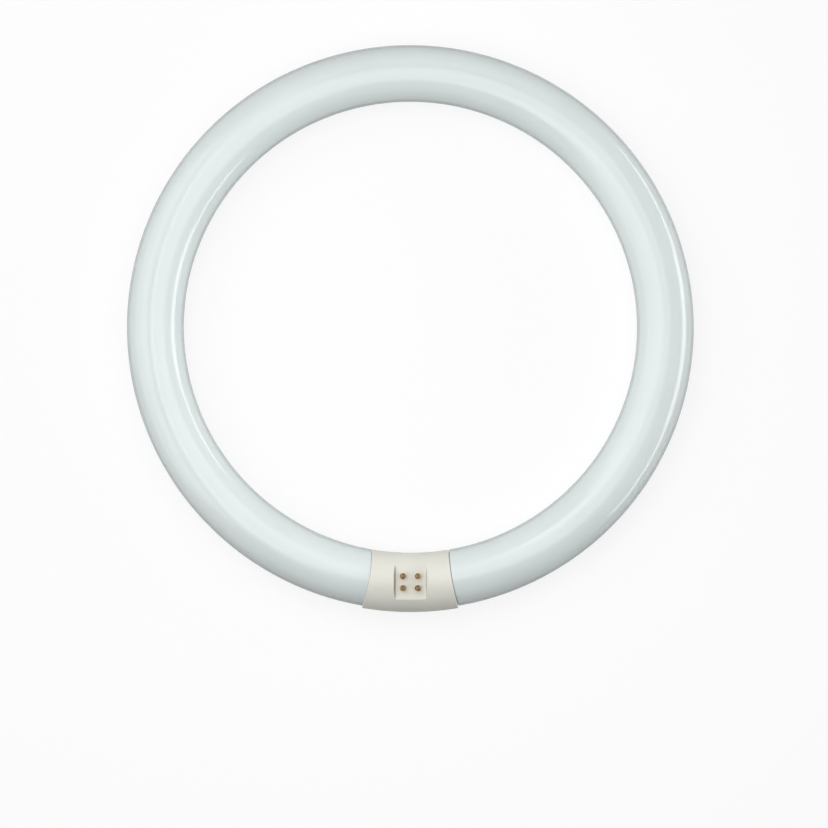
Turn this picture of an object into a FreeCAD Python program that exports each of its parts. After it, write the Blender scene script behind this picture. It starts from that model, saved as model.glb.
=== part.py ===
import FreeCAD, Part
import math
import os
from FreeCAD import Vector

# Ring, in millimetres. The lamp lies flat: its axis is +Z, its cap is towards -Y and its pins point up.
ring_outer_dia = 305.0      # across the glass, outside to outside
tube_dia = 30.5             # the glass tube's own diameter

# Glass ends, inside the cap. The neck is drawn in by the cap's wall and the gap under it.
shoulder_round = 0.6        # rounding where the full tube turns down to the neck
neck_end_round = 4.0        # rounding of the sealed end
flare_rim = 5.6             # breadth of the rolled rim round the flare at each sealed end
flare_depth = 6.0           # mouth to throat
flare_throat_gap = 1.5      # between a lead and the throat's wall
stem_depth = 14.0           # mouth to the pinch that seals the leads
flare_lip_round = 1.0
exhaust_dia = 4.4           # sealed-off pumping stub
exhaust_length = 10.0

# Cap, a clam of two moulded halves
cap_overhang = 1.2          # flush with the tube inside the ring, the cap stands this far past it outside
cap_wall = 0.95             # at its thinnest, where it is flush
cap_half_inner = 20.5       # half length at its inner and outer edge
cap_half_outer = 25.9
cap_end_scoop = 1.4         # how far each end is hollowed, seen from the front
cap_end_round = 0.5
cap_bore_gap = 0.5          # between the neck and the bore of the cap
rib_gap = 0.1               # between the neck and the ribs that grip it
rib_width = 1.2
rib_spacing = 3.4           # centre to centre
rib_inset = 3.2             # outer rib's centre to the waist of the cap's end
glass_gap = 0.25            # between the cap's end and the tube's shoulder, which follows it
parting_groove = 0.4        # width of the fine groove along the split
parting_groove_depth = 0.25

# Tongue and groove along the outer wall
tongue_thickness = 0.8
tongue_height = 1.0
tongue_gap = 0.1
tongue_half_angle = 7.5     # degrees each side of the cap's centre line

# Posts and pegs that locate the halves
post_dia = 4.0
post_inset = 4.7            # post's centre to the side of the bore
peg_dia = 2.0
peg_length = 2.6
peg_gap = 0.1

# Insulating rib between the two pairs of leads
barrier_thickness = 1.2
barrier_post_gap = 1.1      # to the post at each end
barrier_rise = 3.0          # above the split

# Pocket that holds the pins
pocket_floor_width = 16.6
pocket_depth = 3.0          # below the crown of the cap
pocket_draft = 9.5          # degrees
pocket_wall = 1.5           # floor and side wall thickness
pocket_edge_round = 0.3
pocket_glass_gap = 1.0      # pocket's side wall to the sealed glass end
gate_dia = 1.6              # moulding gate's mark at the centre of the pocket
gate_depth = 0.2

# Contact pins
pin_spacing_x = 7.92
pin_spacing_y = 6.35
pin_dia = 2.4
pin_length = 7.0            # above the pocket's floor
pin_bore_dia = 1.2
pin_nose_round = 0.45
pin_shank_gap = 0.05        # between the shank and its hole, all round
collar_dia = 3.2
collar_height = 0.5
clinch_dia = 3.4            # spread end inside the cap
clinch_height = 0.6

# Leads and the solder that closes each pin
lead_dia = 0.6
lead_offset = 3.4           # from the stem's centre, inwards and outwards
lead_exit = 1.0             # straight run past the glass before the first bend
lead_rise = 3.0             # height above the split at which a lead stands under its pin
lead_bend_share = 0.45      # of the shorter run beside a bend, taken up by its arc
sleeve_dia = 1.4            # insulating sleeve on each outer lead
sleeve_gap = 0.1            # between the sleeve and its lead, all round
sleeve_start = 4.0          # from the pinch
sleeve_stop = 0.5           # below the pin's spread end
solder_plug = 0.6           # depth of the solder in the pin
solder_plug_gap = 0.03
solder_bead_dia = 1.44
solder_bead_height = 0.35

tube_r = tube_dia / 2
ring_r = ring_outer_dia / 2 - tube_r
neck_r = tube_r - cap_wall - cap_bore_gap
cap_r = tube_r + cap_overhang / 2
cap_ring_r = ring_r + cap_overhang / 2
cap_inner_r = cap_ring_r - cap_r
cap_outer_r = cap_ring_r + cap_r
bore_r = neck_r + cap_bore_gap
rib_r = neck_r + rib_gap
flare_mouth_r = neck_r - flare_rim
flare_throat_r = lead_offset + lead_dia / 2 + flare_throat_gap
post_offset = bore_r - post_inset
barrier_half_width = post_offset - post_dia / 2 - barrier_post_gap
tongue_mid_r = (ring_r + bore_r + cap_outer_r) / 2
mid_z = cap_r
crown_z = mid_z + cap_r
pocket_floor_z = crown_z - pocket_depth
pocket_under_z = pocket_floor_z - pocket_wall
pocket_block_half = pocket_floor_width / 2 + pocket_wall
pin_tip_z = pocket_floor_z + pin_length
neck_end_deg = math.degrees(math.asin((pocket_block_half + pocket_glass_gap) / ring_r))
cap_corners = [(cap_half_inner, cap_inner_r), (cap_half_outer, cap_outer_r)]
cap_end_deg = math.degrees(max(math.asin(half / radius) for half, radius in cap_corners))
cap_span_deg = 2 * cap_end_deg
neck_root_deg = cap_end_deg + math.degrees((glass_gap + 2 * shoulder_round) / cap_inner_r)
reach = 2 * cap_r           # a length that clears the cap's section in any direction
origin = Vector(0, 0, 0)
up = Vector(0, 0, 1)
across = Vector(1, 0, 0)


def at_angle(radius, angle, height):
    """The point at a radius from the ring's axis, at an angle from the cap's centre line, at a height."""
    a = math.radians(angle)
    return Vector(radius * math.sin(a), -radius * math.cos(a), height)


def along(angle):
    """The direction along the tube at an angle from the cap's centre line, leading away from it."""
    a = math.radians(angle)
    return Vector(math.cos(a), math.sin(a), 0)


def ring_rod(centre_r, section_r, start, end):
    """A round rod bent about the ring's axis, between two angles from the cap's centre line."""
    circle = Part.makeCircle(section_r, at_angle(centre_r, start, mid_z), along(start))
    return Part.Face(Part.Wire(circle)).revolve(origin, up, end - start)


def ring_strip(inner_r, outer_r, low, high, half_angle):
    """A flat strip bent about the ring's axis, centred on the cap."""
    corners = [(inner_r, low), (outer_r, low), (outer_r, high), (inner_r, high), (inner_r, low)]
    profile = Part.makePolygon([at_angle(r, -half_angle, z) for r, z in corners])
    return Part.Face(profile).revolve(origin, up, 2 * half_angle)


def mirrored(shape):
    """The same shape on the other side of the cap's centre line."""
    return shape.mirror(origin, across)


def box(x_half, y_low, y_high, z_low, z_high):
    """A box centred on the cap's centre line, between two radial places and two heights."""
    return Part.makeBox(2 * x_half, y_high - y_low, z_high - z_low, Vector(-x_half, y_low, z_low))


def rings_at(shape, radius, angle):
    """The round edges of one radius about the tube's centre line, at an angle on both sides of the cap."""
    centres = [at_angle(ring_r, a, mid_z) for a in (angle, -angle)]
    return [
        e for e in shape.Edges
        if not e.Degenerated and isinstance(e.Curve, Part.Circle)
        and abs(e.Curve.Radius - radius) < 1e-4
        and min(e.Curve.Center.distanceToPoint(c) for c in centres) < 1e-3
    ]


def stem(side_angle):
    """The flare's hollow at a sealed glass end, and the pumping stub that stands in it."""
    mouth = at_angle(ring_r, side_angle, mid_z)
    inwards = along(side_angle)
    throat = mouth + inwards * flare_depth
    pinch = mouth + inwards * stem_depth
    funnel = Part.makeCone(flare_mouth_r, flare_throat_r, flare_depth, mouth, inwards)
    bore = Part.makeCylinder(flare_throat_r, stem_depth - flare_depth, throat, inwards)
    stub = Part.makeCylinder(exhaust_dia / 2, exhaust_length - exhaust_dia / 2, pinch, inwards * -1)
    tip = Part.makeSphere(exhaust_dia / 2, pinch - inwards * (exhaust_length - exhaust_dia / 2))
    return funnel.fuse(bore).cut(stub.fuse(tip))


def cap_end():
    """The cap's right-hand end seen from the front: its inner corner, waist and outer corner."""
    inner, outer = [Vector(half, -math.sqrt(radius ** 2 - half ** 2), 0) for half, radius in cap_corners]
    chord = outer - inner
    sideways = Vector(chord.y, -chord.x, 0).normalize()
    return inner, (inner + outer) * 0.5 + sideways * cap_end_scoop, outer


def end_scoop():
    """The circle through those three points, which hollows the end."""
    return Part.Arc(*cap_end()).toShape().Curve


def scoop_cutters(inset):
    """The upright round cutters that hollow both ends of the cap, drawn in by an inset."""
    scoop = end_scoop()
    cutter = Part.makeCylinder(scoop.Radius - inset, crown_z + 2 * reach, scoop.Center - up * reach)
    return [cutter, mirrored(cutter)]


def scooped_rims(shape, inset, centre_r, section_r):
    """The edges of a shape where those cutters meet the surface of a bent rod."""
    scoop = end_scoop()
    rims = []
    for e in shape.Edges:
        q = e.valueAt((e.FirstParameter + e.LastParameter) / 2)
        off_cutter = math.hypot(abs(q.x) - scoop.Center.x, q.y - scoop.Center.y) + inset - scoop.Radius
        off_rod = math.hypot(math.hypot(q.x, q.y) - centre_r, q.z - mid_z) - section_r
        if max(abs(off_cutter), abs(off_rod)) < 1e-3:
            rims.append(e)
    return rims


def glass_tube():
    """The sealed glass: a full tube whose shoulders follow the cap's ends, with a drawn-in neck at each."""
    cap_space = box(cap_half_outer + reach, -cap_outer_r - 1, -cap_inner_r + reach, -1, crown_z)
    neck = ring_rod(ring_r, neck_r, -neck_root_deg, neck_root_deg)
    around_necks = cap_space.cut(scoop_cutters(glass_gap) + [neck])
    solid = ring_rod(ring_r, tube_r, neck_end_deg, 360 - neck_end_deg).cut(around_necks)
    solid = solid.makeFillet(shoulder_round, scooped_rims(solid, glass_gap, ring_r, tube_r))
    solid = solid.makeFillet(neck_end_round, rings_at(solid, neck_r, neck_end_deg))
    hollow = stem(neck_end_deg)
    solid = solid.cut([hollow, mirrored(hollow)])
    return solid.makeFillet(flare_lip_round, rings_at(solid, flare_mouth_r, neck_end_deg))


def cap_blank():
    """The cap's whole outer form: a bent rod with its ends hollowed and then rounded."""
    rod = ring_rod(cap_ring_r, cap_r, -cap_span_deg, cap_span_deg)
    blank = rod.cut(scoop_cutters(0))
    middle = [piece for piece in blank.Solids if abs(piece.CenterOfMass.x) < cap_half_inner / 2][0]
    return middle.makeFillet(cap_end_round, scooped_rims(middle, 0, cap_ring_r, cap_r))


def cap_hollow():
    """The space inside the cap: a bore along the tube, narrowed at the ribs that grip the necks."""
    hollow = ring_rod(ring_r, bore_r, -cap_span_deg, cap_span_deg)
    neck = ring_rod(ring_r, rib_r, -cap_span_deg, cap_span_deg)
    half = math.degrees(rib_width / 2 / ring_r)
    waist = cap_end()[1]
    outer_rib = math.degrees(math.atan2(waist.x, -waist.y) - rib_inset / ring_r)
    for centre in (outer_rib, outer_rib - math.degrees(rib_spacing / ring_r)):
        rib = ring_rod(ring_r, bore_r + rib_width, centre - half, centre + half).cut(neck)
        hollow = hollow.cut([rib, mirrored(rib)])
    return hollow


def half_of(shape, low, high):
    """What a shape has between two heights."""
    return shape.common(box(cap_outer_r, -cap_outer_r - 1, 0, low, high))


def split_grooves():
    """The fine grooves that run along the split on both sides of the cap."""
    low, high = mid_z - parting_groove / 2, mid_z + parting_groove / 2
    outer = ring_strip(cap_outer_r - parting_groove_depth, cap_outer_r + 1, low, high, cap_span_deg)
    inner = ring_strip(cap_inner_r - 1, cap_inner_r + parting_groove_depth, low, high, cap_span_deg)
    return [outer, inner]


def tongue(clearance):
    """The tongue along the outer wall's mid-line, or with a clearance the groove that takes it."""
    half = tongue_thickness / 2 + clearance
    low = mid_z - tongue_height - clearance
    half_angle = tongue_half_angle + math.degrees(clearance / tongue_mid_r)
    return ring_strip(tongue_mid_r - half, tongue_mid_r + half, low, mid_z, half_angle)


def post_places():
    """The centres of the locating posts, one near each side wall."""
    return [Vector(0, -ring_r + side * post_offset, 0) for side in (1, -1)]


def upright(diameter, place, low, high):
    """A round post at a place, between two heights."""
    return Part.makeCylinder(diameter / 2, high - low, Vector(place.x, place.y, low))


def pin_places():
    """The four pins' axes as (side, row, place): side is left or right, row inner or outer."""
    return [
        (side, row, Vector(sx * pin_spacing_x / 2, -cap_ring_r + sy * pin_spacing_y / 2, 0))
        for side, sx in (("left", -1), ("right", 1))
        for row, sy in (("inner", 1), ("outer", -1))
    ]


def pocket_cut():
    """The open pocket in the crown: a flat floor between two leaning walls, right across the cap."""
    top = pocket_depth + 1
    floor_half = pocket_floor_width / 2
    top_half = floor_half + top * math.tan(math.radians(pocket_draft))
    y = -cap_outer_r - 1
    corners = [(-floor_half, 0), (floor_half, 0), (top_half, top), (-top_half, top), (-floor_half, 0)]
    profile = Part.makePolygon([Vector(x, y, pocket_floor_z + z) for x, z in corners])
    return Part.Face(profile).extrude(Vector(0, 2 * reach, 0))


def pocket_rims(shape):
    """The edges where the pocket's leaning walls meet the crown."""
    lean = math.tan(math.radians(pocket_draft))
    rims = []
    for e in shape.Edges:
        if e.Degenerated or e.Length < pocket_floor_width / 2:
            continue
        ends = [e.valueAt(e.FirstParameter), e.valueAt((e.FirstParameter + e.LastParameter) / 2)]
        off = [abs(abs(q.x) - pocket_floor_width / 2 - (q.z - pocket_floor_z) * lean) for q in ends]
        if max(off) < 1e-3 and ends[1].z > pocket_floor_z + pocket_depth / 2:
            rims.append(e)
    return rims


def cap_front_shell(blank, hollow):
    """The half that faces the lamp's front, with the pocket, the pins' holes, the posts and the tongue."""
    front = half_of(blank, mid_z, crown_z + 1)
    block = box(pocket_block_half, -cap_outer_r, -cap_inner_r, pocket_under_z, crown_z).common(front)
    posts = [upright(post_dia, p, mid_z, pocket_under_z).common(front) for p in post_places()]
    shell = front.cut(hollow).fuse([block] + posts).removeSplitter()
    shell = shell.cut(pocket_cut())
    shell = shell.makeFillet(pocket_edge_round, pocket_rims(shell))
    hole_dia = pin_dia + 2 * pin_shank_gap
    holes = [upright(hole_dia, p, pocket_under_z - 1, pocket_floor_z + 1) for _, _, p in pin_places()]
    gate = upright(gate_dia, Vector(0, -cap_ring_r, 0), pocket_floor_z - gate_depth, crown_z)
    shell = shell.cut(holes + [gate] + split_grooves())
    pegs = [upright(peg_dia, p, mid_z - peg_length, mid_z + 1) for p in post_places()]
    return shell.fuse(pegs + [tongue(0)]).removeSplitter()


def cap_rear_shell(blank, hollow):
    """The plain half, with the sockets for the pegs, the groove for the tongue and the insulating rib."""
    rear = half_of(blank, -1, mid_z)
    posts = [upright(post_dia, p, 0, mid_z).common(rear) for p in post_places()]
    low_y, high_y = -ring_r - barrier_half_width, -ring_r + barrier_half_width
    rib = box(barrier_thickness / 2, low_y, high_y, 0, mid_z).common(rear)
    crest = box(barrier_thickness / 2, low_y, high_y, mid_z, mid_z + barrier_rise)
    shell = rear.cut(hollow).fuse([rib, crest] + posts).removeSplitter()
    socket_dia = peg_dia + 2 * peg_gap
    sockets = [upright(socket_dia, p, mid_z - peg_length - peg_gap, mid_z + 1) for p in post_places()]
    return shell.cut(sockets + [tongue(tongue_gap)] + split_grooves())


def contact_pin(place):
    """A hollow pin: spread end inside the cap, shank, collar on the pocket's floor, round-nosed stud."""
    pin_r, hole_r = pin_dia / 2, pin_bore_dia / 2
    steps = [
        (hole_r, pocket_under_z - clinch_height), (clinch_dia / 2, pocket_under_z - clinch_height),
        (clinch_dia / 2, pocket_under_z), (pin_r, pocket_under_z),
        (pin_r, pocket_floor_z), (collar_dia / 2, pocket_floor_z),
        (collar_dia / 2, pocket_floor_z + collar_height), (pin_r, pocket_floor_z + collar_height),
        (pin_r, pin_tip_z - pin_nose_round),
    ]
    points = [place + Vector(r, 0, z) for r, z in steps]
    bulge = pin_nose_round * math.sqrt(0.5)
    nose_mid = place + Vector(pin_r - pin_nose_round + bulge, 0, pin_tip_z - pin_nose_round + bulge)
    nose_end = place + Vector(pin_r - pin_nose_round, 0, pin_tip_z)
    nose = Part.Arc(points[-1], nose_mid, nose_end).toShape()
    inside = Part.makePolygon([nose_end, place + Vector(hole_r, 0, pin_tip_z), points[0]])
    outline = Part.Wire(Part.makePolygon(points).Edges + [nose] + inside.Edges)
    return Part.Face(outline).revolve(place, up, 360)


def solder_bead(place):
    """The solder that closes a pin: a short plug in the bore under a low dome."""
    plug_r = pin_bore_dia / 2 - solder_plug_gap
    bead_r = solder_bead_dia / 2
    dome_r = (bead_r ** 2 + solder_bead_height ** 2) / (2 * solder_bead_height)
    half_turn = math.asin(bead_r / dome_r) / 2
    top = place + Vector(0, 0, pin_tip_z + solder_bead_height)
    brow = top + Vector(dome_r * math.sin(half_turn), 0, dome_r * (math.cos(half_turn) - 1))
    rim = place + Vector(bead_r, 0, pin_tip_z)
    low_z = pin_tip_z - solder_plug
    steps = [(bead_r, pin_tip_z), (plug_r, pin_tip_z), (plug_r, low_z), (0, low_z)]
    lower = Part.makePolygon([place + Vector(r, 0, z) for r, z in steps] + [top])
    outline = Part.Wire([Part.Arc(top, brow, rim).toShape()] + lower.Edges)
    return Part.Face(outline).revolve(place, up, 360)


def lead_route(side, row, place):
    """A lead's corner points: from the pinch of the nearer glass end, out of the flare, up into its pin."""
    turn = 1 if side == "right" else -1
    away = along(turn * neck_end_deg) * turn
    outwards = at_angle(1, turn * neck_end_deg, 0) * (lead_offset if row == "outer" else -lead_offset)
    mouth = at_angle(ring_r, turn * neck_end_deg, mid_z) + outwards
    return [
        mouth + away * stem_depth,
        mouth - away * lead_exit,
        place + Vector(0, 0, mid_z + lead_rise),
        place + Vector(0, 0, pin_tip_z - solder_plug),
    ]


def bent_rod(points, diameter, skip_start=0.0, skip_end=0.0):
    """A round rod along straight runs joined by tangent arcs, with a length left off at each end."""
    edges = []
    start = points[0] + (points[1] - points[0]).normalize() * skip_start
    heading = points[1] - points[0]
    circle = Part.Wire(Part.makeCircle(diameter / 2, start, heading))
    for before, corner, after in zip(points, points[1:], points[2:]):
        run_in, run_out = corner - before, after - corner
        turn = run_in.getAngle(run_out)
        cut_back = lead_bend_share * min(run_in.Length, run_out.Length)
        radius = cut_back / math.tan(turn / 2)
        arc_in = corner - run_in * (cut_back / run_in.Length)
        arc_out = corner + run_out * (cut_back / run_out.Length)
        towards = ((arc_in + arc_out) * 0.5 - corner).normalize()
        arc_mid = corner + towards * (radius / math.cos(turn / 2) - radius)
        edges += [Part.LineSegment(start, arc_in).toShape(), Part.Arc(arc_in, arc_mid, arc_out).toShape()]
        start = arc_out
        print(f"  bend {math.degrees(turn):.0f} degrees, radius {radius:.2f} mm")
    end = points[-1] - (points[-1] - points[-2]).normalize() * skip_end
    edges.append(Part.LineSegment(start, end).toShape())
    return Part.Wire(edges).makePipeShell([circle], True, False)


def lead_wire(side, row, place):
    """A lead, bare from end to end."""
    return bent_rod(lead_route(side, row, place), lead_dia)


def insulating_sleeve(side, row, place):
    """The loose sleeve on an outer lead, which keeps it off the inner one."""
    route = lead_route(side, row, place)
    stop = route[-1].z - (pocket_under_z - clinch_height - sleeve_stop)
    body = bent_rod(route, sleeve_dia, sleeve_start, stop)
    bore = bent_rod(route, lead_dia + 2 * sleeve_gap, sleeve_start / 2, stop / 2)
    return body.cut(bore)


def save(name, shape):
    """Writes one sub-part under its node's name."""
    print(f"{name}: {len(shape.Solids)} solid, valid {shape.isValid()}, {shape.Volume:.1f} mm3")
    shape.exportStep(f"parts/{name}.step")


def main():
    os.makedirs("parts", exist_ok=True)
    blank, hollow = cap_blank(), cap_hollow()
    save("glass_tube", glass_tube())
    save("cap_front_shell", cap_front_shell(blank, hollow))
    save("cap_rear_shell", cap_rear_shell(blank, hollow))
    for side, row, place in pin_places():
        save(f"contact_pin_{side}_{row}", contact_pin(place))
        save(f"lead_wire_{side}_{row}", lead_wire(side, row, place))
        save(f"solder_bead_{side}_{row}", solder_bead(place))
        if row == "outer":
            save(f"insulating_sleeve_{side}", insulating_sleeve(side, row, place))


main()
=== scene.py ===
import bpy
import math
import numpy as np
from mathutils import Matrix, Vector


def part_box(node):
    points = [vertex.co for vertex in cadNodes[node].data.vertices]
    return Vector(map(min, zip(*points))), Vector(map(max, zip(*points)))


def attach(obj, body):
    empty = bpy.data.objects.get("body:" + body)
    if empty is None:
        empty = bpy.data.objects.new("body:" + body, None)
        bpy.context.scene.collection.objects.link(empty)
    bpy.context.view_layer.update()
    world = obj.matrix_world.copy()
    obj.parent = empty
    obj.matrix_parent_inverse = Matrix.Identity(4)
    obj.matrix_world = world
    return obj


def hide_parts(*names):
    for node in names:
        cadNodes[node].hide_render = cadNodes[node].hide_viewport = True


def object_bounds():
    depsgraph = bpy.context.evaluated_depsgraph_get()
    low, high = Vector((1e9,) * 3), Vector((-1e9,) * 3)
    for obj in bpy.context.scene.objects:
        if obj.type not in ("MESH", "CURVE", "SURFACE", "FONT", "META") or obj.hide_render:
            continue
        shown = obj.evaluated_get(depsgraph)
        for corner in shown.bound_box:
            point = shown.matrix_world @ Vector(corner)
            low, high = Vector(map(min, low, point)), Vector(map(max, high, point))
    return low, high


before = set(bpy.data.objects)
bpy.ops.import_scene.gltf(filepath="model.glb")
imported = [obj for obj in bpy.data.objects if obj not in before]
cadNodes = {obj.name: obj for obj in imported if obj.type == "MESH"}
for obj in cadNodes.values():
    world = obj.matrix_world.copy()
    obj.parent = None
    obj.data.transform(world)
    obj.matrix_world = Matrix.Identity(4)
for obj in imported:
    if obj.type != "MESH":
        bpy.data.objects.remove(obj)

scene = bpy.context.scene
cadLow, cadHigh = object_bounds()
tubeLow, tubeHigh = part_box("glass_tube")
tubeRadius = (tubeHigh.z - tubeLow.z) / 2
tubeHeight = (tubeHigh.z + tubeLow.z) / 2
ringRadius = tubeHigh.x - tubeRadius     # of the tube's centre line
sidesMm = [round((high - low) * 1000, 1) for low, high in zip(cadLow, cadHigh)]
print("frame:", len(cadNodes), "nodes,", sidesMm, "mm")


# shader maths: a Wire is one output socket, and arithmetic on it adds Math nodes
class Wire:
    def __init__(self, tree, socket=None):
        self.tree = tree
        self.socket = socket

    # adds any node: its settings first, then the values or links of its sockets
    def node(self, kind, settings, sockets, out=0):
        made = self.tree.nodes.new("ShaderNode" + kind)
        for name, value in settings.items():
            setattr(made, name, value)
        for name, value in sockets.items():
            if isinstance(value, Wire):
                self.tree.links.new(value.socket, made.inputs[name])
            else:
                made.inputs[name].default_value = value
        return Wire(self.tree, made.outputs[out])

    def maths(self, operation, *terms):
        return self.node("Math", {"operation": operation}, dict(enumerate(terms)))

    def __add__(self, other):
        return self.maths("ADD", self, other)

    def __sub__(self, other):
        return self.maths("SUBTRACT", self, other)

    def __rsub__(self, other):
        return self.maths("SUBTRACT", other, self)

    def __mul__(self, other):
        return self.maths("MULTIPLY", self, other)

    def __truediv__(self, other):
        return self.maths("DIVIDE", self, other)

    def __pow__(self, other):
        return self.maths("POWER", self, other)

    def __abs__(self):
        return self.maths("ABSOLUTE", self)

    __radd__ = __add__
    __rmul__ = __mul__

    # noise from 0 to 1; size is the width of one blotch in metres
    def noise(self, size, detail, roughness=0.5):
        sockets = {"Vector": self, "Scale": 1.0 / size, "Detail": detail, "Roughness": roughness}
        return self.node("TexNoise", {}, sockets, "Fac")

    # 0 below low, 1 above high, a smooth step between
    def step(self, low, high):
        sockets = {"Value": self, "From Min": low, "From Max": high}
        return self.node("MapRange", {"interpolation_type": "SMOOTHSTEP"}, sockets, "Result")

    # the first colour where this is 0, the second where it is 1
    def blend(self, first, second):
        ends = [end if isinstance(end, Wire) else (*end, 1.0) for end in (first, second)]
        return self.node("Mix", {"data_type": "RGBA"}, {0: self, 6: ends[0], 7: ends[1]}, 2)

    # relief from this height of 0 to 1, that many metres deep
    def bump(self, depth):
        return self.node("Bump", {}, {"Height": self, "Distance": depth, "Strength": 1.0}, "Normal")

    def axes(self):
        return [self.node("SeparateXYZ", {}, {0: self}, axis) for axis in range(3)]

    # mixes two shaders, this much of the second one, and sends the mix to the tree's output
    def show(self, first, second, output="Material Output"):
        mixed = self.node("MixShader", {}, {0: self, 1: first, 2: second})
        self.tree.links.new(mixed.socket, self.tree.nodes[output].inputs["Surface"])


# a material, its Principled shader and the object's own coordinates to paint it by
def newFinish(name, **constants):
    finish = bpy.data.materials.new(name)
    finish.use_nodes = True
    shader = finish.node_tree.nodes["Principled BSDF"]
    for socket, value in constants.items():
        shader.inputs[socket.replace("_", " ")].default_value = value
    place = Wire(finish.node_tree).node("TexCoord", {}, {}, "Object")
    return finish, shader, place


def feed(shader, **wires):
    for socket, wire in wires.items():
        wire.tree.links.new(wire.socket, shader.inputs[socket.replace("_", " ")])


creaseDeg = 35.0         # faces that meet more sharply than this keep their edge


# rings x around x 3 points into a closed mesh: rows of quads, and a fan to a pole at each end
def closedMesh(name, rings, startPole, endPole):
    count, around = rings.shape[:2]
    points = np.vstack([rings.reshape(-1, 3), startPole, endPole])
    row = np.arange(count - 1)[:, None] * around
    here = np.arange(around)
    after = (here + 1) % around
    quads = np.stack([row + here, row + after, row + around + after, row + around + here], -1)
    last = (count - 1) * around
    startFan = np.stack([np.full(around, count * around), after, here], -1)
    endFan = np.stack([np.full(around, count * around + 1), last + here, last + after], -1)
    corners = np.concatenate([quads.ravel(), startFan.ravel(), endFan.ravel()])
    sizes = np.concatenate([np.full(quads.size // 4, 4), np.full(2 * around, 3)])
    mesh = bpy.data.meshes.new(name)
    mesh.vertices.add(len(points))
    mesh.vertices.foreach_set("co", points.astype(np.float32).ravel())
    mesh.loops.add(len(corners))
    mesh.loops.foreach_set("vertex_index", corners.astype(np.int32))
    mesh.polygons.add(len(sizes))
    mesh.polygons.foreach_set("loop_start", (np.cumsum(sizes) - sizes).astype(np.int32))
    mesh.polygons.foreach_set("use_smooth", np.ones(len(sizes), bool))
    mesh.update(calc_edges=True)
    mesh.set_sharp_from_angle(angle=math.radians(creaseDeg))
    return mesh


def newPiece(name, mesh, finish, slot, *nodes):
    mesh.materials.append(finish)
    piece = bpy.data.objects.new(name, mesh)
    scene.collection.objects.link(piece)
    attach(piece, "root")
    if nodes:
        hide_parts(*nodes)
    return piece


# the cap as its solids have it, which the glass and the finishes follow, in metres
cap = {
    "sectionRadius": 0.01585,
    "ringRadius": 0.13785,       # from the ring's axis to the middle of the section, and of the four pins
    "corners": ((0.0205, 0.1220), (0.0259, 0.1537)),     # half length, and radius about the ring's axis
    "scoop": 0.0014,             # how far each end of the cap is hollowed
    "pocketFloor": 0.0287,       # its height
    "pinHalves": (0.00396, 0.003175),        # half of the pins' spacing, across and along
}


# glass tube: the section's radius as a function of the way along, turned about the bent centre line
glass = {
    "neckRadius": 0.0138,
    "neckEndHalf": 0.0108,       # from the neck's end to the cap's centre line
    "neckEndRound": 0.004,
    "leftShoulder": (0.00006, 0.00025),      # its gap to the cap's end, which it follows, and its rounding
    "rightShoulder": (0.00025, 0.0006),
    "flareMouthRadius": 0.0082,
    "flareThroatRadius": 0.0052,
    "flareLipRound": 0.001,
    "flareDepth": 0.006,
    "stemDepth": 0.014,
    "stubRadius": 0.0022,
    "stubLength": 0.010,
    "stepsAround": 112,
    "stepsAlong": 300,           # on half the ring
    "stepsRound": 9,
}
aroundTube = np.linspace(0, 2 * math.pi, glass["stepsAround"], endpoint=False)
mouthAngle = math.asin(glass["neckEndHalf"] / ringRadius)    # from the cap's centre line


# a quarter round or less: rows (distance in, radius) about a centre, between two directions
def roundOff(centreIn, centreRadius, bend, startDeg, endDeg):
    angle = np.radians(np.linspace(startDeg, endDeg, glass["stepsRound"]))
    return np.stack([centreIn + bend * np.cos(angle), centreRadius + bend * np.sin(angle)], -1)


# the hollow in a glass end: rows (distance in, radius) from the stub's tip to the flare's mouth
def hollowProfile():
    g = glass
    tipCentre = g["stemDepth"] - g["stubLength"] + g["stubRadius"]
    tip = roundOff(tipCentre, 0.0, g["stubRadius"], 180, 90)[1:]
    lean = math.atan2(g["flareMouthRadius"] - g["flareThroatRadius"], g["flareDepth"])
    bend = g["flareLipRound"]
    lipRadius = g["flareMouthRadius"] + bend * math.tan((math.pi / 2 - lean) / 2)
    lip = roundOff(bend, lipRadius, bend, 270 - math.degrees(lean), 180)
    walls = [
        (g["stemDepth"], g["stubRadius"]),
        (g["stemDepth"], g["flareThroatRadius"]),
        (g["flareDepth"], g["flareThroatRadius"]),
    ]
    return np.vstack([tip, walls, lip])


# the neck's rounded end: rows (distance in, radius)
def neckEndProfile():
    bend = glass["neckEndRound"]
    return roundOff(bend, glass["neckRadius"] - bend, bend, 180, 90)


# points across the tube: each circle of a radius stands at an angle from the cap's centre line,
# moved straight along the tube's direction there; the angle may differ round the circle
def circlesOnRing(angles, straight, radii):
    angles, straight, radii = [np.atleast_2d(a) for a in (angles, straight, radii)]
    outwards = ringRadius + radii * np.cos(aroundTube)
    x = outwards * np.sin(angles) + straight * np.cos(angles)
    y = -outwards * np.cos(angles) + straight * np.sin(angles)
    z = tubeHeight + radii * np.sin(aroundTube) + 0 * angles
    return np.stack([x, y, z], -1)


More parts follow.
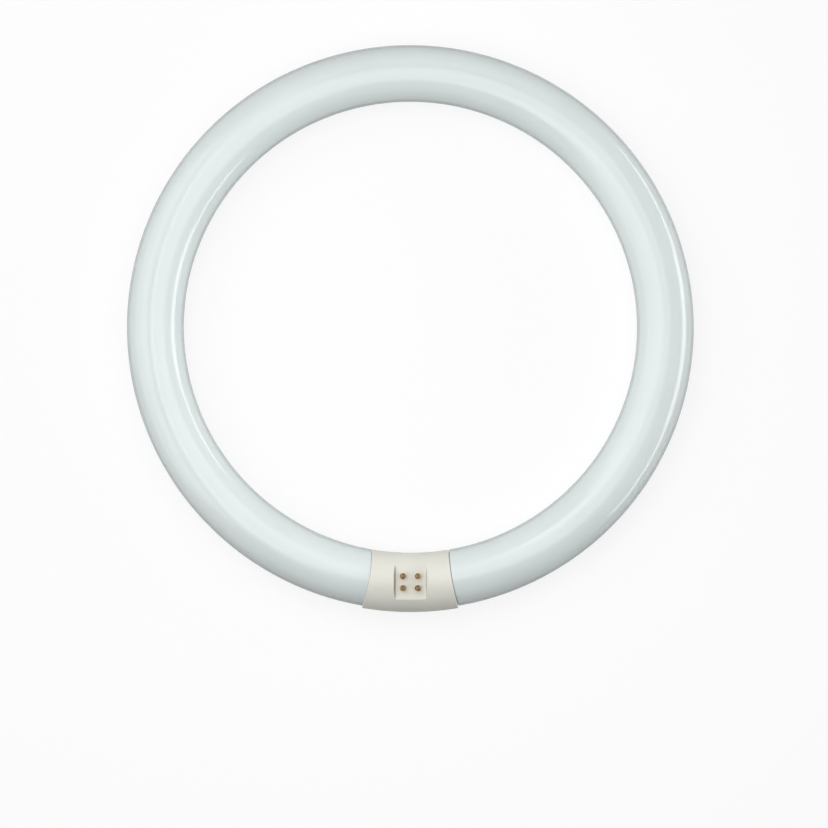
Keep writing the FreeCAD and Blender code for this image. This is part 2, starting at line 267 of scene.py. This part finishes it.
# the angle at which a circle of some radius on the tube meets the shoulder: the shoulder is part of an
# upright cylinder through the cap's corners and waist, and the law of cosines gives the angle
def shoulderAngle(radius, gap):
    inner, outer = [np.array([half, -math.sqrt(r * r - half * half)]) for half, r in cap["corners"]]
    chord = outer - inner
    halfChord = np.linalg.norm(chord) / 2
    scoopRadius = (halfChord ** 2 + cap["scoop"] ** 2) / (2 * cap["scoop"])
    away = np.array([-chord[1], chord[0]]) / (2 * halfChord)
    centre = (inner + outer) / 2 + away * (scoopRadius - cap["scoop"])
    reach = np.linalg.norm(centre)
    outwards = ringRadius + radius * np.cos(aroundTube)
    cosine = (outwards ** 2 + reach ** 2 - (scoopRadius - gap) ** 2) / (2 * outwards * reach)
    return math.atan2(centre[0], -centre[1]) - np.arccos(cosine)


# half of the tube, on the right: rings of points from the stub's tip to the far side of the ring
def glassHalf(gap, rounding):
    hollow = hollowProfile()
    end = neckEndProfile()
    bend = roundOff(rounding, tubeRadius - rounding, rounding, 180, 90)
    shoulder = shoulderAngle(tubeRadius, gap) + bend[:, :1] / ringRadius
    along = np.linspace(0, 1, glass["stepsAlong"])[1:, None]
    return np.concatenate([
        circlesOnRing(mouthAngle, hollow[:, :1], hollow[:, 1:]),
        circlesOnRing(mouthAngle + end[:, :1] / ringRadius, 0.0, end[:, 1:]),
        circlesOnRing(shoulderAngle(glass["neckRadius"], gap), 0.0, glass["neckRadius"]),
        circlesOnRing(shoulder, 0.0, bend[:, 1:]),
        circlesOnRing(shoulder[-1] * (1 - along) + math.pi * along, 0.0, tubeRadius),
    ])


# the whole tube: the left half is a half mirrored, with the left shoulder
def glassMesh():
    mirror = np.array([-1, 1, 1])
    right, left = [glassHalf(*glass[shoulder]) for shoulder in ("rightShoulder", "leftShoulder")]
    tip = circlesOnRing(mouthAngle, glass["stemDepth"] - glass["stubLength"], 0.0)[0, 0]
    rings = np.concatenate([right, left[-2::-1] * mirror])
    return closedMesh("glassTube", rings, tip, tip * mirror)


# in the settings of a finish, a noise is the width of one blotch in metres, its detail and, for some, its
# roughness, and a step is the two values between which it rises from 0 to 1


# glossy glass over an even white coating, which is a little thinner in places and stops short of the
# seals; the glass wall itself shows at the rims, where it is seen on the slant, and its dark tone there is
# painted shade
tubeFinish = {
    "coating": (0.668, 0.728, 0.724),
    "thinCoating": (0.637, 0.702, 0.70),
    "patch": (0.035, 2.0),
    "patchStep": (0.35, 0.75),
    "patchShare": 0.6,
    "grain": (0.0006, 2.0),
    "grainStep": (0.55, 0.8),
    "grainShare": 0.25,
    "bareGlass": (0.50, 0.53, 0.52),
    "bareDeg": (6.0, 6.5),       # the coating begins here, from the cap's centre line
    "gloss": 0.145,
    "smear": (0.02, 4.0, 0.6),
    "smearStep": (0.45, 0.8),
    "smearGloss": 0.05,
    "ripple": (0.045, 1.0),
    "rippleDepth": 0.00006,
    # painted shade at the rims, where the glass wall is seen on the slant
    "rimGlassShade": (0.16, 0.20, 0.195),
    "rimShare": 0.3,
    "rimStep": (0.48, 0.70),     # in one less the cosine of the slant
    "bending": 1.5,
}


def glassFinish():
    t = tubeFinish
    finish, shader, place = newFinish("phosphorGlass", IOR=t["bending"])
    patches = place.noise(*t["patch"]).step(*t["patchStep"])
    grain = place.noise(*t["grain"]).step(*t["grainStep"])
    coated = (patches * t["patchShare"] + grain * t["grainShare"]).blend(t["coating"], t["thinCoating"])
    x, y, z = place.axes()
    fromCap = x.maths("ARCTAN2", abs(x), 0 - y)
    bare = 1 - fromCap.step(*[math.radians(angle) for angle in t["bareDeg"]])
    smear = place.noise(*t["smear"]).step(*t["smearStep"])
    feed(
        shader,
        Base_Color=bare.blend(coated, t["bareGlass"]),
        Roughness=t["gloss"] + smear * t["smearGloss"],
        Normal=place.noise(*t["ripple"]).bump(t["rippleDepth"]),
    )
    # a dark glass mixed in on the slant at the rims: painted shade
    rimWallShadeLook = {"Base Color": (*t["rimGlassShade"], 1.0), "Roughness": t["gloss"], "IOR": t["bending"]}
    rimWallShade = place.node("BsdfPrincipled", {}, rimWallShadeLook)
    slant = place.node("LayerWeight", {}, {"Blend": 0.5}, "Facing").step(*t["rimStep"])
    (slant * t["rimShare"]).show(Wire(finish.node_tree, shader.outputs[0]), rimWallShade)
    return finish


glassTube = newPiece("glassTube", glassMesh(), glassFinish(), "tube_glass", "glass_tube")
print("glass tube:", len(glassTube.data.polygons), "faces")


# moulded cap: satin ivory plastic with a fine eroded grain, a little warmer round the foot of each pin
capPlastic = {
    "ivory": (0.695, 0.685, 0.615),
    "pale": (0.72, 0.715, 0.655),
    "cloud": (0.018, 3.0),
    "cloudStep": (0.3, 0.75),
    "grain": (0.00035, 2.0),
    "grainDepth": 0.000012,
    "grainGloss": 0.12,
    "satin": 0.36,
    "bending": 1.5,
    "warmed": (0.74, 0.67, 0.54),
    "warmReach": (0.0012, 0.0042),       # from the pin's axis: warm, and warm no more
    "warmBelow": (0.001, 0.0002),        # the pocket's floor: where it begins, and is full
}


# left wall of the pocket, which leans more than the right one: a wedge along its foot; its cross-section
# runs straight across the cap, and at each height it ends where the cap's round outside does
pocketWall = {
    "footHalf": 0.0078,
    "topHalf": 0.00876,
    "topHeight": 0.03145,
    "backHalf": 0.0089,          # inside the cap's own wall
    "stepsUp": 14,
    "stepsAlong": 24,
    # painted shade: the wall's plastic darkens along its middle
    "paintedShade": (0.43, 0.38, 0.30),
    "paintedShadeFade": (0.0068, 0.0094),       # along the wall from its middle: painted shade in full, and painted shade no more
}


def pocketWallMesh():
    w = pocketWall
    up = np.linspace(0, 1, w["stepsUp"])
    face = w["footHalf"] + (w["topHalf"] - w["footHalf"]) * up
    half = np.append(face, np.full(w["stepsUp"], w["backHalf"]))
    height = cap["pocketFloor"] + (w["topHeight"] - cap["pocketFloor"]) * np.append(up, up[::-1])
    reach = np.sqrt(cap["sectionRadius"] ** 2 - (height - tubeHeight) ** 2)
    radius = cap["ringRadius"] + np.linspace(-1, 1, w["stepsAlong"])[:, None] * reach
    rings = np.stack([0 * radius - half, -np.sqrt(radius ** 2 - half ** 2), height + 0 * radius], -1)
    return closedMesh("pocketWall", rings, rings[0].mean(0), rings[-1].mean(0))


# plastic for the cap's own nodes, or for the pocket's wall with painted shade along its middle
def capFinish(name, shadePainted):
    c = capPlastic
    finish, shader, place = newFinish(name, IOR=c["bending"])
    clouds = place.noise(*c["cloud"]).step(*c["cloudStep"])
    grain = place.noise(*c["grain"])
    x, y, z = place.axes()
    halfAcross, halfAlong = cap["pinHalves"]
    fromMiddle = abs(y + cap["ringRadius"])
    across = abs(x) - halfAcross
    along = fromMiddle - halfAlong
    toPin = (across * across + along * along) ** 0.5
    low, high = [cap["pocketFloor"] - below for below in c["warmBelow"]]
    warm = (1 - toPin.step(*c["warmReach"])) * z.step(low, high)
    colour = warm.blend(clouds.blend(c["ivory"], c["pale"]), c["warmed"])
    # painted shade on the pocket's wall, fading towards its ends
    if shadePainted:
        fade = fromMiddle.step(*pocketWall["paintedShadeFade"])
        colour = (1 - fade).blend(colour, pocketWall["paintedShade"])
    feed(
        shader,
        Base_Color=colour,
        Roughness=c["satin"] + grain * c["grainGloss"],
        Normal=grain.bump(c["grainDepth"]),
    )
    return finish


# dull brass pins: tarnish in patches and fine turning marks round each pin's axis
pinBrass = {
    "clean": (0.215, 0.148, 0.077),
    "tarnish": (0.05, 0.034, 0.02),
    "patch": (0.0015, 4.0, 0.6),
    "patchStep": (0.35, 0.7),
    "gloss": 0.28,
    "patchGloss": 0.2,
    "turning": 0.00009,          # from one mark to the next
    "turningStep": (0.0, 0.5),
    "turningDepth": 0.000004,
}


def pinFinish():
    p = pinBrass
    finish, shader, place = newFinish("tarnishedBrass", Metallic=1.0)
    patches = place.noise(*p["patch"]).step(*p["patchStep"])
    z = place.axes()[2]
    marks = z.maths("FRACT", z / p["turning"]).step(*p["turningStep"])
    feed(
        shader,
        Base_Color=patches.blend(p["clean"], p["tarnish"]),
        Roughness=patches * p["patchGloss"] + p["gloss"],
        Normal=marks.bump(p["turningDepth"]),
    )
    return finish


# solder and lead wires: darker patches, which are also duller, and small dents
solder = {"light": (0.19, 0.14, 0.09), "dark": (0.06, 0.044, 0.029), "patch": 0.0009, "gloss": 0.38}
copper = {"light": (0.72, 0.42, 0.3), "dark": (0.4, 0.2, 0.13), "patch": 0.003, "gloss": 0.3}
dullMetal = {
    "patch": (4.0, 0.6),         # detail and roughness
    "patchStep": (0.3, 0.75),
    "patchGloss": 0.15,
    "dentShare": 1 / 3,          # a dent's width and depth, of a patch's width
    "dentDepth": 0.02,
    "dentDetail": 2.0,
}


def metalFinish(name, metal):
    d = dullMetal
    finish, shader, place = newFinish(name, Metallic=1.0)
    patches = place.noise(metal["patch"], *d["patch"]).step(*d["patchStep"])
    dents = place.noise(metal["patch"] * d["dentShare"], d["dentDetail"])
    feed(
        shader,
        Base_Color=patches.blend(metal["light"], metal["dark"]),
        Roughness=patches * d["patchGloss"] + metal["gloss"],
        Normal=dents.bump(metal["patch"] * d["dentDepth"]),
    )
    return finish


# woven glass-fibre sleeving: two sets of threads crossing on the slant
sleeving = {
    "thread": 0.0004,
    "between": (0.55, 0.52, 0.45),
    "raised": (0.78, 0.75, 0.68),
    "relief": 0.00006,
    "dull": 0.8,
}


def sleeveFinish():
    s = sleeving
    finish, shader, place = newFinish("glassFibre", Roughness=s["dull"])
    x, y, z = place.axes()
    slant, counter = [x.maths("SINE", way * (math.pi / s["thread"])) for way in (x + z, x - z)]
    weave = slant * counter * 0.5 + 0.5
    feed(
        shader,
        Base_Color=weave.blend(s["between"], s["raised"]),
        Normal=weave.bump(s["relief"]),
    )
    return finish


finishes = {
    "cap_": capFinish("ivoryPlastic", False),
    "contact_pin_": pinFinish(),
    "solder_bead_": metalFinish("dullSolder", solder),
    "lead_wire_": metalFinish("copperLead", copper),
    "insulating_sleeve_": sleeveFinish(),
}
for nodeName, node in cadNodes.items():
    for prefix, finish in finishes.items():
        if nodeName.startswith(prefix):
            node.material_slots[0].material = finish
# the pocket's wall, its plastic darkened along its middle with painted shade
newPiece("pocketWall", pocketWallMesh(), capFinish("shadePaintedPlastic", True), "cap_plastic")
print("finishes:", len(bpy.data.materials), "materials on", len(cadNodes), "nodes")


# floor: pale, and shown nearly white to the camera; the part of it that doesn't glow keeps the shadow
white = (1.0, 1.0, 1.0, 1.0)
floorLook = {
    "half": 15.0,
    "pale": (0.7, 0.7, 0.7),
    "seenPale": (0.95, 0.95, 0.95),
    "glow": 0.82,
    "mirroredGlow": 0.05,
    "gap": 0.00002,
}


# the share of white for rays from the camera, and for those that a glossy or clear surface sends on
def whiteShare(wire, seen, mirrored):
    flags = ("Is Camera Ray", "Is Glossy Ray", "Is Transmission Ray")
    camera, glossy, through = [wire.node("LightPath", {}, {}, flag) for flag in flags]
    return wire.maths("MAXIMUM", camera * seen, wire.maths("MAXIMUM", glossy, through) * mirrored)


# a square, a hair below the lamp
def makeFloor():
    f = floorLook
    corners = ((-1, -1), (1, -1), (1, 1), (-1, 1))
    mesh = bpy.data.meshes.new("floor")
    mesh.from_pydata([(x * f["half"], y * f["half"], -f["gap"]) for x, y in corners], [], [(0, 1, 2, 3)])
    finish = bpy.data.materials.new("paleFloor")
    finish.use_nodes = True
    tree = finish.node_tree
    tree.nodes.remove(tree.nodes["Principled BSDF"])
    wire = Wire(tree)
    camera = wire.node("LightPath", {}, {}, "Is Camera Ray")
    matt = wire.node("BsdfDiffuse", {}, {"Color": camera.blend(f["pale"], f["seenPale"])})
    glow = wire.node("Emission", {}, {"Color": white, "Strength": 1.0})
    whiteShare(wire, f["glow"], f["mirroredGlow"]).show(matt, glow)
    mesh.materials.append(finish)
    floor = bpy.data.objects.new("floor", mesh)
    scene.collection.objects.link(floor)


# world: white where it is seen or mirrored, and as light a pale band above the horizon, strongest on the
# right and weakest on the cap's side
dome = {
    "left": 0.4,
    "right": 1.3,
    "sideStep": (-0.5, 0.9),     # in the part of a direction that points right
    "nearShare": 0.1,
    "farStep": (-0.8, 0.2),      # in the part that points away from the cap
    "bandStep": (0.0, 0.45),     # in the part that points up
}


def makeWorld():
    world = bpy.data.worlds.new("studio")
    world.use_nodes = True
    scene.world = world
    wire = Wire(world.node_tree)
    x, y, z = wire.node("TexCoord", {}, {}, "Generated").axes()
    sides = x.step(*dome["sideStep"]) * (dome["right"] - dome["left"]) + dome["left"]
    far = y.step(*dome["farStep"]) * (1 - dome["nearShare"]) + dome["nearShare"]
    level = (1 - z.step(*dome["bandStep"])) * sides * far
    light = wire.node("Background", {}, {"Color": white, "Strength": level})
    seen = wire.node("Background", {}, {"Color": white, "Strength": 1.0})
    whiteShare(wire, 1.0, 1.0).show(light, seen, "World Output")


# soft boxes: where each stands, facing the lamp, its width and height, and how brightly it glows
softBoxes = {
    "topBox": {"place": (0.0, 0.0, 0.5), "size": (0.5, 0.5), "glow": 1.55},
    "mainBox": {"place": (-0.62, 0.1, 1.85), "size": (0.7, 2.4), "glow": 1.0},
    "leftBox": {"place": (-1.15, 0.1, 1.15), "size": (0.75, 2.2), "glow": 1.6},
    "leftLowBox": {"place": (-1.45, 0.1, 0.5), "size": (0.55, 2.2), "glow": 0.85},
    "rightStrip": {"place": (1.88, 0.05, 0.58), "size": (0.3, 1.3), "glow": 3.4},
    "rightLowStrip": {"place": (1.9, 0.08, 0.28), "size": (0.36, 3.4), "glow": 3.5},
    "farBox": {"place": (0.0, 1.4, 1.4), "size": (1.6, 0.9), "glow": 0.43},
}


# turns -Z from a place towards a point, with Y as near as possible to the scene's own
def facing(place, aim):
    back = (Vector(place) - Vector(aim)).normalized()
    right = Vector((0, 1, 0)).cross(back).normalized()
    return Matrix((right, back.cross(right), back)).transposed()


# a soft box glows with a quarter of its watts for each square metre
def makeSoftBox(name, box):
    width, height = box["size"]
    lamp = bpy.data.lights.new(name, "AREA")
    lamp.shape = "RECTANGLE"
    lamp.size = width
    lamp.size_y = height
    lamp.energy = 4 * box["glow"] * width * height
    holder = bpy.data.objects.new(name, lamp)
    holder.visible_camera = False
    holder.matrix_world = Matrix.Translation(box["place"]) @ facing(box["place"], (0, 0, 0)).to_4x4()
    scene.collection.objects.link(holder)


makeFloor()
makeWorld()
for boxName, box in softBoxes.items():
    makeSoftBox(boxName, box)
print("studio: floor, dome and", len(softBoxes), "soft boxes")


# camera: looks down on the lamp as the photograph does, from a little left of the cap
view = {
    "place": (-0.01791, -0.14874, 1.50835),
    "aim": (0.00189, -0.04758, 0.01585),
    "rollDeg": 0.12,
    "lens": 121.11,
    "sensor": 36.0,
}


def makeCamera():
    lens = bpy.data.cameras.new("camera")
    lens.lens = view["lens"]
    lens.sensor_width = view["sensor"]
    camera = bpy.data.objects.new("camera", lens)
    roll = Matrix.Rotation(math.radians(view["rollDeg"]), 3, "Z")
    turn = (facing(view["place"], view["aim"]) @ roll).to_4x4()
    camera.matrix_world = Matrix.Translation(view["place"]) @ turn
    scene.collection.objects.link(camera)
    scene.camera = camera


makeCamera()
scene.view_settings.view_transform = "Standard"
print("camera:", view["lens"], "mm lens at", view["place"])
